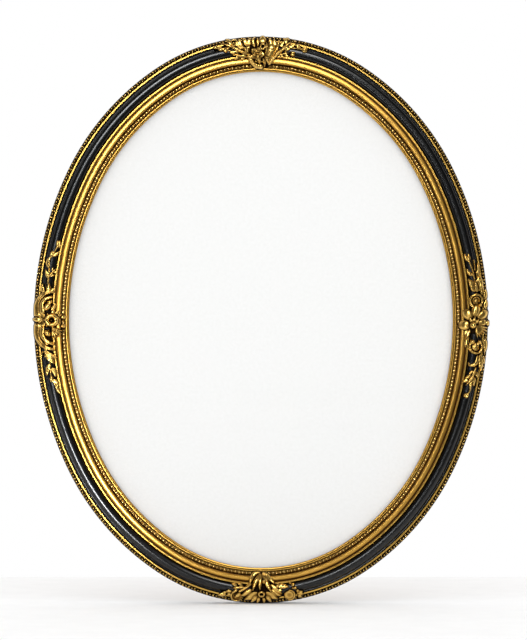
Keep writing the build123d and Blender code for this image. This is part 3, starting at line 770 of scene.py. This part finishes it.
def base():
    relief = Relief(bottom, (-19, 19), (0.0, 29.5))
    # Low grounds, painted dark as shade between the forms
    relief.dome((0, 7.5), (17, 7.4), 0.7)
    relief.dome((0, 18), (11, 9.5), 0.7)
    relief.leaf([(-8, 13), (-13, 8.5), (-17.5, 6.0)], 5.6, 3.2)
    relief.leaf([(8, 13), (13, 8.5), (17.5, 6.4)], 5.6, 3.2)
    relief.leaf([(-3, 10.5), (-8, 6.5), (-14, 3.0)], 7.0, 3.6)
    relief.leaf([(4, 10.5), (9.5, 6.8), (14.5, 3.4)], 6.6, 3.6)
    relief.leaf([(-2.8, 8), (-5.4, 4.2), (-8.4, 0.8)], 4.4, 3.6)
    relief.leaf([(4.2, 7.5), (6.8, 4), (8.6, 0.9)], 4.4, 3.6)
    relief.leaf([(-1.4, 6), (-2.2, 3), (-3.2, 0.4)], 3.4, 3.4)
    relief.leaf([(2.2, 6), (2.6, 3), (2.4, 0.4)], 3.2, 3.4)
    relief.leaf([(-0.2, 28.4), (-5.8, 26.8), (-9.2, 22), (-10.6, 15.4)], 4.6, 3.8)
    relief.leaf([(0.8, 28.2), (5.6, 25.4), (9.6, 21), (13.4, 17)], 4.4, 3.6)
    relief.leaf([(-0.6, 27.5), (-4.8, 20), (-7.4, 11.5)], 5.2, 4.0)
    relief.leaf([(1, 27.5), (4.6, 20), (9.0, 10.6)], 6.0, 4.0, veins=4)
    relief.leaf([(0, 27), (-0.8, 20), (-1.0, 12)], 5.0, 4.4)
    relief.dome((2.8, 19.9), (1.7, 2.1), 5.2)
    relief.dome((0.5, 8.6), (3.6, 3.4), 4.2, hole=3.2)
    ornament(relief, "base_cartouche")


def base_left():
    relief = Relief(bottom, (-40, -8), (0.0, 20))
    relief.tube([(-9.6, 17.4), (-13.5, 14), (-18.5, 10.2)], 2.8, 3.2, ribs=7)
    relief.acanthus([(-14, 14.6), (-19.5, 13.6), (-26.5, 12.0)], 7.0, 3.2, 2)
    relief.dome((-20.8, 5.2), (4.6, 4.6), 1.4, hole=0.5)
    relief.scroll((-20.8, 5.2), 4.4, 120, 210, 1.8, 3.2, close=0.03)
    relief.leaf([(-17.4, 8.6), (-20, 6), (-22.4, 3.6)], 4.4, 3.6, veins=3)
    relief.leaf([(-25, 9), (-30.5, 8.4)], 4.6, 3.0, lobes=2)
    relief.leaf([(-25.5, 7), (-29, 5.0)], 3.4, 2.8)
    relief.leaf([(-29, 7), (-33, 6.8)], 3.0, 2.6)
    relief.leaf([(-29.5, 5.6), (-36.5, 3.0)], 4.8, 3.0, lobes=2)
    ornament(relief, "base_spray_left")


def base_right():
    relief = Relief(bottom, (8, 40), (0.0, 21))
    relief.leaf([(9, 17.5), (13, 13), (18.5, 7.5)], 5.0, 3.2, veins=9)
    relief.leaf([(13, 15.6), (18.5, 14.6), (25.5, 13.4)], 5.4, 3.4, veins=4)
    relief.leaf([(14, 12), (19, 10.8)], 3.6, 2.8)
    relief.dome((24.2, 5.8), (4.7, 4.7), 3.2, hole=0.5)
    relief.scroll((24.2, 5.8), 4.7, 255, 190, 1.6, 3.0, close=0.0)
    for place, size in (
        ((28.8, 14.6), 2.0), ((26.6, 16.6), 1.5), ((30.3, 11.4), 1.8),
        ((31.8, 8.4), 1.8), ((28.0, 11.8), 1.4),
    ):
        relief.dome(place, (size, size * 0.85), 3.0)
    relief.leaf([(30.5, 6.5), (36.8, 4.4)], 5.0, 3.0, lobes=2)
    relief.leaf([(31, 4), (34.5, 1.8)], 3.2, 2.6)
    relief.dome((34.4, 7.0), (1.7, 1.4), 2.6)
    ornament(relief, "base_spray_right")


def left_flower():
    relief = Relief(left_side, (-11, 19), (-1.4, 30))
    # Low ground, painted dark as shade between the forms
    relief.dome((0, 12), (7.5, 11), 0.7)
    relief.leaf([(-1.5, 11.5), (-4.6, 6), (-3.6, 0.2)], 6.0, 3.2, veins=3)
    relief.leaf([(2, 11.5), (5.2, 6), (3.4, 0.6)], 6.0, 3.2, veins=3)
    relief.leaf([(0.4, 10.5), (-0.5, -1.2)], 6.2, 3.6, veins=4)
    relief.dome((-2.5, 26.9), (2.2, 2.3), 3.4)
    relief.dome((5.8, 26.7), (2.2, 2.3), 3.4)
    relief.fan((8, 17.6), 9.4, -4, 74, 5, 3.6)
    relief.dome((8.6, 18.2), (2.2, 2.2), 4.2)
    relief.leaf([(-4.5, 19.5), (-8.2, 22.8)], 4.2, 3.2, lobes=2)
    relief.leaf([(-4.8, 17), (-9.8, 18.4)], 4.4, 3.2, lobes=2)
    relief.leaf([(-3, 22), (-5.6, 25.6)], 3.2, 3.0)
    relief.petals((0.4, 16.7), 7.6, 7, 3.6, start=10, cup=0.2)
    relief.scroll((0.4, 16.7), 4.2, 0, 360, 4.6, 5.0, close=0.0, flute=0.0, taper=0.0)
    relief.dome((0.6, 16.3), (0.9, 0.9), 3.6)
    ornament(relief, "left_flower")


def left_scrolls():
    upper = Relief(left_side, (-34, -4), (-0.6, 22))
    # Low ground, painted dark as shade between the forms
    upper.dome((-15, 9), (10, 8), 0.7, turn=-30)
    upper.tube(
        [(-5, 3.4), (-12, 2.8), (-18.5, 5.0), (-23.5, 10), (-25.6, 17)], 6.8, 3.2, taper=0.6, flute=0.9
    )
    upper.tube([(-7, 8.0), (-13.5, 7.4), (-18, 10), (-20.6, 15.6)], 5.8, 4.4, taper=0.5, flute=0.4)
    upper.dome((-11.6, 12.6), (4.4, 3.0), 4.6, turn=-35)
    upper.dome((-15.8, 14.6), (2.8, 2.0), 4.2, turn=-50)
    upper.leaf([(-8, 16), (-12, 18.4), (-15.5, 19.6)], 4.0, 3.4)
    upper.leaf([(-22, 9.5), (-27, 7.2), (-32, 6.8)], 4.6, 3.4, lobes=2)
    upper.leaf([(-22.5, 12), (-28, 12.6), (-33, 12.6)], 5.4, 3.6, lobes=2)
    upper.leaf([(-24, 14.5), (-29.6, 18.6)], 4.8, 3.4, lobes=2)
    ornament(upper, "left_scroll_upper")
    lower = Relief(left_side, (4, 41), (-0.6, 22))
    # Low ground, painted dark as shade between the forms
    lower.dome((16, 9), (10, 8), 0.7, turn=30)
    lower.tube([(6, 3.4), (12, 2.8), (19, 5.0), (24.4, 10.2), (27, 17.4)], 6.8, 3.2, taper=0.6, flute=0.9)
    lower.tube([(8, 8.0), (13.5, 7.6), (18.4, 11), (22, 17)], 5.8, 4.4, taper=0.5, flute=0.4)
    lower.dome((12, 12.6), (3.8, 2.8), 4.6, turn=35)
    lower.leaf([(19, 9), (22.5, 13)], 3.2, 3.4)
    lower.leaf([(27, 9.5), (31.5, 13), (35, 20)], 5.0, 3.4, cup=0.35)
    lower.leaf([(27, 9.5), (33, 12.4), (40, 16.4)], 6.4, 3.8, cup=0.35, veins=3)
    lower.scroll((30.2, 7.6), 2.4, 30, 270, 1.6, 3.0, ball=0.9)
    lower.leaf([(24, 11), (29, 9.4)], 3.4, 2.8)
    ornament(lower, "left_scroll_lower")


def left_sprigs():
    upper = Relief(left_side, (-75, -31), (4, 21))
    upper.tube([(-32, 11.5), (-44, 11), (-53, 9.8), (-60, 12.4), (-67, 14.6)], 1.7, 2.2)
    upper.acanthus([(-38, 11.8), (-42, 14), (-47, 17.2)], 5.0, 3.0, 2)
    upper.leaf([(-37, 10.8), (-45, 7.6)], 3.4, 2.8, veins=3)
    upper.leaf([(-46, 10.8), (-51, 8.6), (-56, 9.6)], 4.4, 3.0, veins=4)
    upper.leaf([(-55, 10.8), (-62, 11.0)], 3.6, 2.8, veins=3)
    upper.leaf([(-56.5, 12), (-62.5, 17.2)], 3.6, 2.8, veins=3)
    upper.dome((-68.6, 15.0), (4.2, 2.5), 3.2, turn=14, slit=0.7)
    ornament(upper, "left_sprig_upper")
    lower = Relief(left_side, (36, 72), (4, 22))
    lower.tube([(37, 13), (45, 12), (54, 12.4), (64, 16)], 1.7, 2.2)
    lower.leaf([(39, 12.4), (44, 9.8), (49.8, 8.0)], 4.6, 3.2, veins=4)
    lower.leaf([(43, 13), (47, 15.6), (52, 15.6)], 5.0, 3.2, cup=0.3)
    lower.leaf([(50, 12.4), (56, 10.8)], 3.8, 2.8, lobes=2)
    lower.leaf([(53, 12.6), (57.5, 16), (61, 15.8)], 4.0, 3.0)
    lower.leaf([(60, 14.8), (68, 16.8)], 3.8, 3.0, veins=3)
    ornament(lower, "left_sprig_lower")


def right_flower():
    relief = Relief(right_side, (-20, 14), (-1.4, 30))
    # Low ground, painted dark as shade between the forms
    relief.dome((-2, 12), (11, 11), 0.7)
    relief.dome((-2.9, 0.6), (2.3, 1.9), 3.2)
    relief.leaf([(-4, 8), (-3, 1)], 4.0, 2.8)
    for place, size, turn in (
        ((4.6, 18.6), (6.2, 4.6), 40), ((-5.0, 21.6), (5.6, 5.0), 90), ((7.6, 11.2), (6.2, 4.6), -14),
        ((4.0, 5.4), (6.2, 4.0), -46), ((-2.6, 5.6), (4.6, 3.4), -75),
    ):
        relief.dome(place, size, 3.8, turn=turn, slit=0.25)
    for place in ((1.8, 17.0), (3.4, 12.2), (0.4, 8.4)):
        relief.leaf([(-4.6, 14), place], 4.2, 4.4)
    relief.fan((-5.4, 11.8), 11.6, 192, 262, 6, 4.0)
    relief.leaf([(-9, 16.5), (-13, 18.6), (-17.5, 19.4)], 5.0, 3.2, lobes=2)
    relief.leaf([(-9, 19), (-14, 22)], 3.6, 2.8)
    relief.dome((-5.0, 14.0), (3.4, 3.4), 4.9)
    relief.scroll((-1.4, 13.4), 2.2, 200, 250, 1.5, 4.6)
    ornament(relief, "right_flower")


def right_scrolls():
    upper = Relief(right_side, (7, 40), (-0.6, 22))
    upper.dome((17, 10.4), (4.4, 4.4), 1.0)
    upper.scroll((16.8, 10.4), 5.9, 150, -290, 2.7, 3.4, ball=1.9, close=0.12)
    upper.scroll((17.0, 10.4), 3.4, 140, -260, 1.5, 3.2, close=0.15, flute=0.0)
    upper.leaf([(10, 4), (13, 2.2), (18, 1.2)], 4.4, 3.0)
    upper.leaf([(17, 3.4), (22, 1.6), (27, 1.4)], 4.2, 3.0)
    upper.leaf([(21, 5), (27, 4.6), (32, 5.2)], 4.6, 3.2, lobes=2)
    upper.acanthus([(24, 9.4), (29.5, 9.8), (35.5, 10.6)], 9.5, 3.4, 3)
    upper.leaf([(26, 5), (34, 4.6), (39, 5.6)], 4.0, 3.0)
    ornament(upper, "right_scroll_upper")
    lower = Relief(right_side, (-47, -13), (-0.6, 23))
    lower.dome((-24, 10.4), (4.4, 4.4), 1.0)
    lower.scroll((-24, 10.3), 6.0, 40, 285, 2.7, 3.4, ball=2.0, close=0.12)
    lower.dome((-19.8, 13.8), (2.4, 2.4), 4.0)
    lower.leaf([(-18, 8), (-24, 8.6)], 3.6, 3.0, lobes=2)
    lower.leaf([(-17.5, 19.4), (-25.5, 19.8)], 4.0, 2.8, lobes=2)
    lower.leaf([(-16, 3), (-22, 1.8), (-29, 2.2)], 4.6, 3.0)
    lower.leaf([(-30, 6), (-37, 4.8), (-45, 3.2)], 6.0, 3.6, veins=4)
    lower.leaf([(-31, 8), (-38, 8.4), (-41, 13.6), (-38, 16)], 4.4, 3.4)
    lower.leaf([(-32, 3), (-38, 1.4)], 3.0, 2.6)
    ornament(lower, "right_scroll_lower")


def right_sprigs():
    upper = Relief(right_side, (32, 64), (2, 21))
    upper.tube([(33, 10.5), (45, 11.4), (54, 13.2)], 1.7, 2.2)
    upper.leaf([(39, 11.6), (42, 14.4), (46.5, 16.4)], 3.8, 3.0, veins=3)
    upper.leaf([(36, 8), (45, 6.0), (51, 5.4)], 3.0, 2.6, veins=2)
    upper.tube([(44, 8.8), (52.5, 8.4)], 1.5, 2.2)
    upper.leaf([(52, 12.6), (56.5, 12.4), (60, 12.6)], 3.0, 3.0)
    upper.leaf([(52, 12.8), (56.5, 15.2), (60.4, 15.6)], 3.4, 3.2)
    ornament(upper, "right_sprig_upper")
    lower = Relief(right_side, (-73, -41), (2, 21))
    lower.tube([(-42, 8), (-52, 10), (-62.8, 9.9), (-67, 11.8)], 1.6, 2.2)
    lower.acanthus([(-43.5, 8.6), (-50, 10), (-60, 14.8)], 8.0, 3.2, 3)
    lower.leaf([(-52, 8.4), (-59, 7.4)], 3.0, 2.6, veins=2)
    lower.dome((-68.0, 12.3), (2.8, 2.5), 3.2, turn=-20, slit=0.7)
    ornament(lower, "right_sprig_lower")


for build in (
    crest, crest_left, crest_right, base, base_left, base_right,
    left_flower, left_scrolls, left_sprigs, right_flower, right_scrolls, right_sprigs,
):
    build()

# Nodes that keep their solids
card = fibre("white_card", (0.90, 0.90, 0.89), (0.95, 0.95, 0.945), roughness=0.85, scale=420, depth=0.15)
hardboard = fibre(
    "hardboard", (0.20, 0.115, 0.06), (0.32, 0.20, 0.115), roughness=0.7, scale=300, depth=0.3
)
dowel_wood = fibre(
    "dowel_wood", (0.42, 0.26, 0.13), (0.58, 0.40, 0.23),
    roughness=0.6, scale=160, depth=0.3, stretch=(1, 6, 1),
)
rubber = fibre(
    "bumper_rubber", (0.016, 0.016, 0.016), (0.03, 0.03, 0.03), roughness=0.75, scale=500, depth=0.4
)
button_steel = plated("button_steel", (0.50, 0.48, 0.44), (0.68, 0.66, 0.62), roughness=0.25)
brass = plated("screw_brass", (0.52, 0.36, 0.13), (0.76, 0.58, 0.27), roughness=0.25)
hanger_steel = plated("hanger_steel", (0.55, 0.54, 0.52), (0.74, 0.73, 0.71), roughness=0.2)
kept = {
    clear_glass(): ["glass_pane"],
    card: ["picture_card"],
    hardboard: ["backing_board"],
    dowel_wood: ["joint_dowels"],
    rubber: ["wall_bumpers"],
    button_steel: [f"turn_button_{n}" for n in range(1, 7)],
    brass: ["turn_button_screws", "hanger_screws"],
    hanger_steel: ["hanger_strap_left", "hanger_strap_right", "hanger_ring_left", "hanger_ring_right"],
}
for finish, names in kept.items():
    for name in names:
        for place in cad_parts[name].material_slots:
            place.material = finish

# Camera: the photograph's frame and the oval's middle in it, in pixels, and the real size of a pixel
picture_width, picture_height = 527, 640
oval_middle = (260.9, 319.8)
pixel = 0.903
distance, sensor_height = 2600, 24
camera_azimuth, camera_elevation = 0.0, 0.0
camera = bpy.data.objects.new("camera", bpy.data.cameras.new("camera"))
bpy.context.scene.collection.objects.link(camera)
bpy.context.scene.camera = camera
camera.data.sensor_fit = "VERTICAL"
camera.data.sensor_height = sensor_height
camera.data.lens = sensor_height * distance / pixel / picture_height
target = Vector((
    (picture_width / 2 - oval_middle[0]) * pixel,
    -wall_gap - strip_top,
    (oval_middle[1] - picture_height / 2) * pixel,
))
turn, lift = radians(camera_azimuth), radians(camera_elevation)
sight = Vector((sin(turn) * cos(lift), -cos(turn) * cos(lift), sin(lift)))
camera.location = (target + sight * distance) * MM
camera.rotation_euler = (-sight).to_track_quat("-Z", "Y").to_euler()


# Light: the world lights the frame softly, and the lamps show only as gleams on polish and gold
gleam_away, gleam_spread, gleam_colour = 1.4, 26, (0.95, 0.98, 1.0)
white, soft_light = (1.0, 1.0, 1.0), (1.12, 1.12, 1.12)


def lamp(name, aim, azimuth, elevation, away, size, power, spread=180, colour=(1, 1, 1)):
    """Area lamp seen only in reflections, aimed at a point from a direction, with a spread in degrees."""
    light = bpy.data.lights.new(name, "AREA")
    light.shape = "RECTANGLE"
    light.size, light.size_y = size
    light.energy = power
    light.color = colour
    light.spread = radians(spread)
    holder = bpy.data.objects.new(name, light)
    bpy.context.scene.collection.objects.link(holder)
    a, e = radians(azimuth), radians(elevation)
    towards = Vector((sin(a) * cos(e), -cos(a) * cos(e), sin(e)))
    holder.location = Vector(aim) + towards * away
    holder.rotation_euler = (-towards).to_track_quat("-Z", "Y").to_euler()
    holder.visible_diffuse = False


for name, aim, azimuth, elevation, size, power in (
    ("gleam_upper_left", (-0.12, 0, 0.2), -11, 17, (0.8, 0.7), 1.3),
    ("gleam_lower_left", (-0.14, 0, -0.18), -15.5, -12, (0.36, 0.34), 0.85),
):
    lamp(name, aim, azimuth, elevation, gleam_away, size, power, gleam_spread, gleam_colour)
lamp("spark_above", (0, 0, 0), azimuth=8, elevation=40, away=1.8, size=(0.6, 0.5), power=15)

# World: white to the camera and behind the frame, a dim studio in reflections, one level for soft light
world = bpy.data.worlds.new("studio")
bpy.context.scene.world = world
world.use_nodes = True
tree = world.node_tree
path = node(tree, "ShaderNodeLightPath")
facing = node(tree, "ShaderNodeSeparateXYZ", {0: node(tree, "ShaderNodeTexCoord").outputs["Generated"]})
behind = maths(tree, "GREATER_THAN", facing.outputs["Y"], 0.0)
mirrored = maths(tree, "MAXIMUM", path.outputs["Is Glossy Ray"], path.outputs["Is Transmission Ray"])
shown = maths(tree, "MAXIMUM", path.outputs["Is Camera Ray"], maths(tree, "MULTIPLY", mirrored, behind))
ahead = maths(tree, "MULTIPLY", facing.outputs["Y"], -1.0)
studio = ramp(tree, ahead, (0.0, 0.04), (0.7, 0.08), (0.92, 0.18), (1.0, 0.26))
softened = blend(tree, "MIX", path.outputs["Is Diffuse Ray"], studio, soft_light)
backdrop = blend(tree, "MIX", shown, softened, white)
tree.links.new(backdrop, tree.nodes["Background"].inputs["Color"])

# Floor: pale, just under the frame's lowest edge, with a faint glow to the camera and in reflections
floor_gap, floor_glow = 0.2, 0.08
floor_level = -half_height - floor_gap
floor_side, floor_back, floor_front = 1200, 250, 300
corners = np.array([
    (-floor_side, -floor_front, floor_level), (floor_side, -floor_front, floor_level),
    (floor_side, floor_back, floor_level), (-floor_side, floor_back, floor_level),
])
floor = make_mesh("floor", corners * MM, [(0, 1, 2, 3)])
made, tree, shader = material("pale_floor", roughness=0.9)
pale = ramp(tree, noise(tree, 40, 4), (0.3, (0.86, 0.86, 0.86)), (0.7, (0.89, 0.89, 0.89)))
tree.links.new(pale, shader.inputs["Base Color"])
path = node(tree, "ShaderNodeLightPath")
mirrored = maths(tree, "MAXIMUM", path.outputs["Is Glossy Ray"], path.outputs["Is Transmission Ray"])
seen = maths(tree, "MAXIMUM", path.outputs["Is Camera Ray"], mirrored)
glow = node(tree, "ShaderNodeEmission", {"Strength": maths(tree, "MULTIPLY", seen, floor_glow)})
both = node(tree, "ShaderNodeAddShader", {0: shader.outputs[0], 1: glow.outputs[0]})
tree.links.new(both.outputs[0], tree.nodes["Material Output"].inputs["Surface"])
floor.data.materials.append(made)

bpy.context.scene.view_settings.view_transform = "Standard"
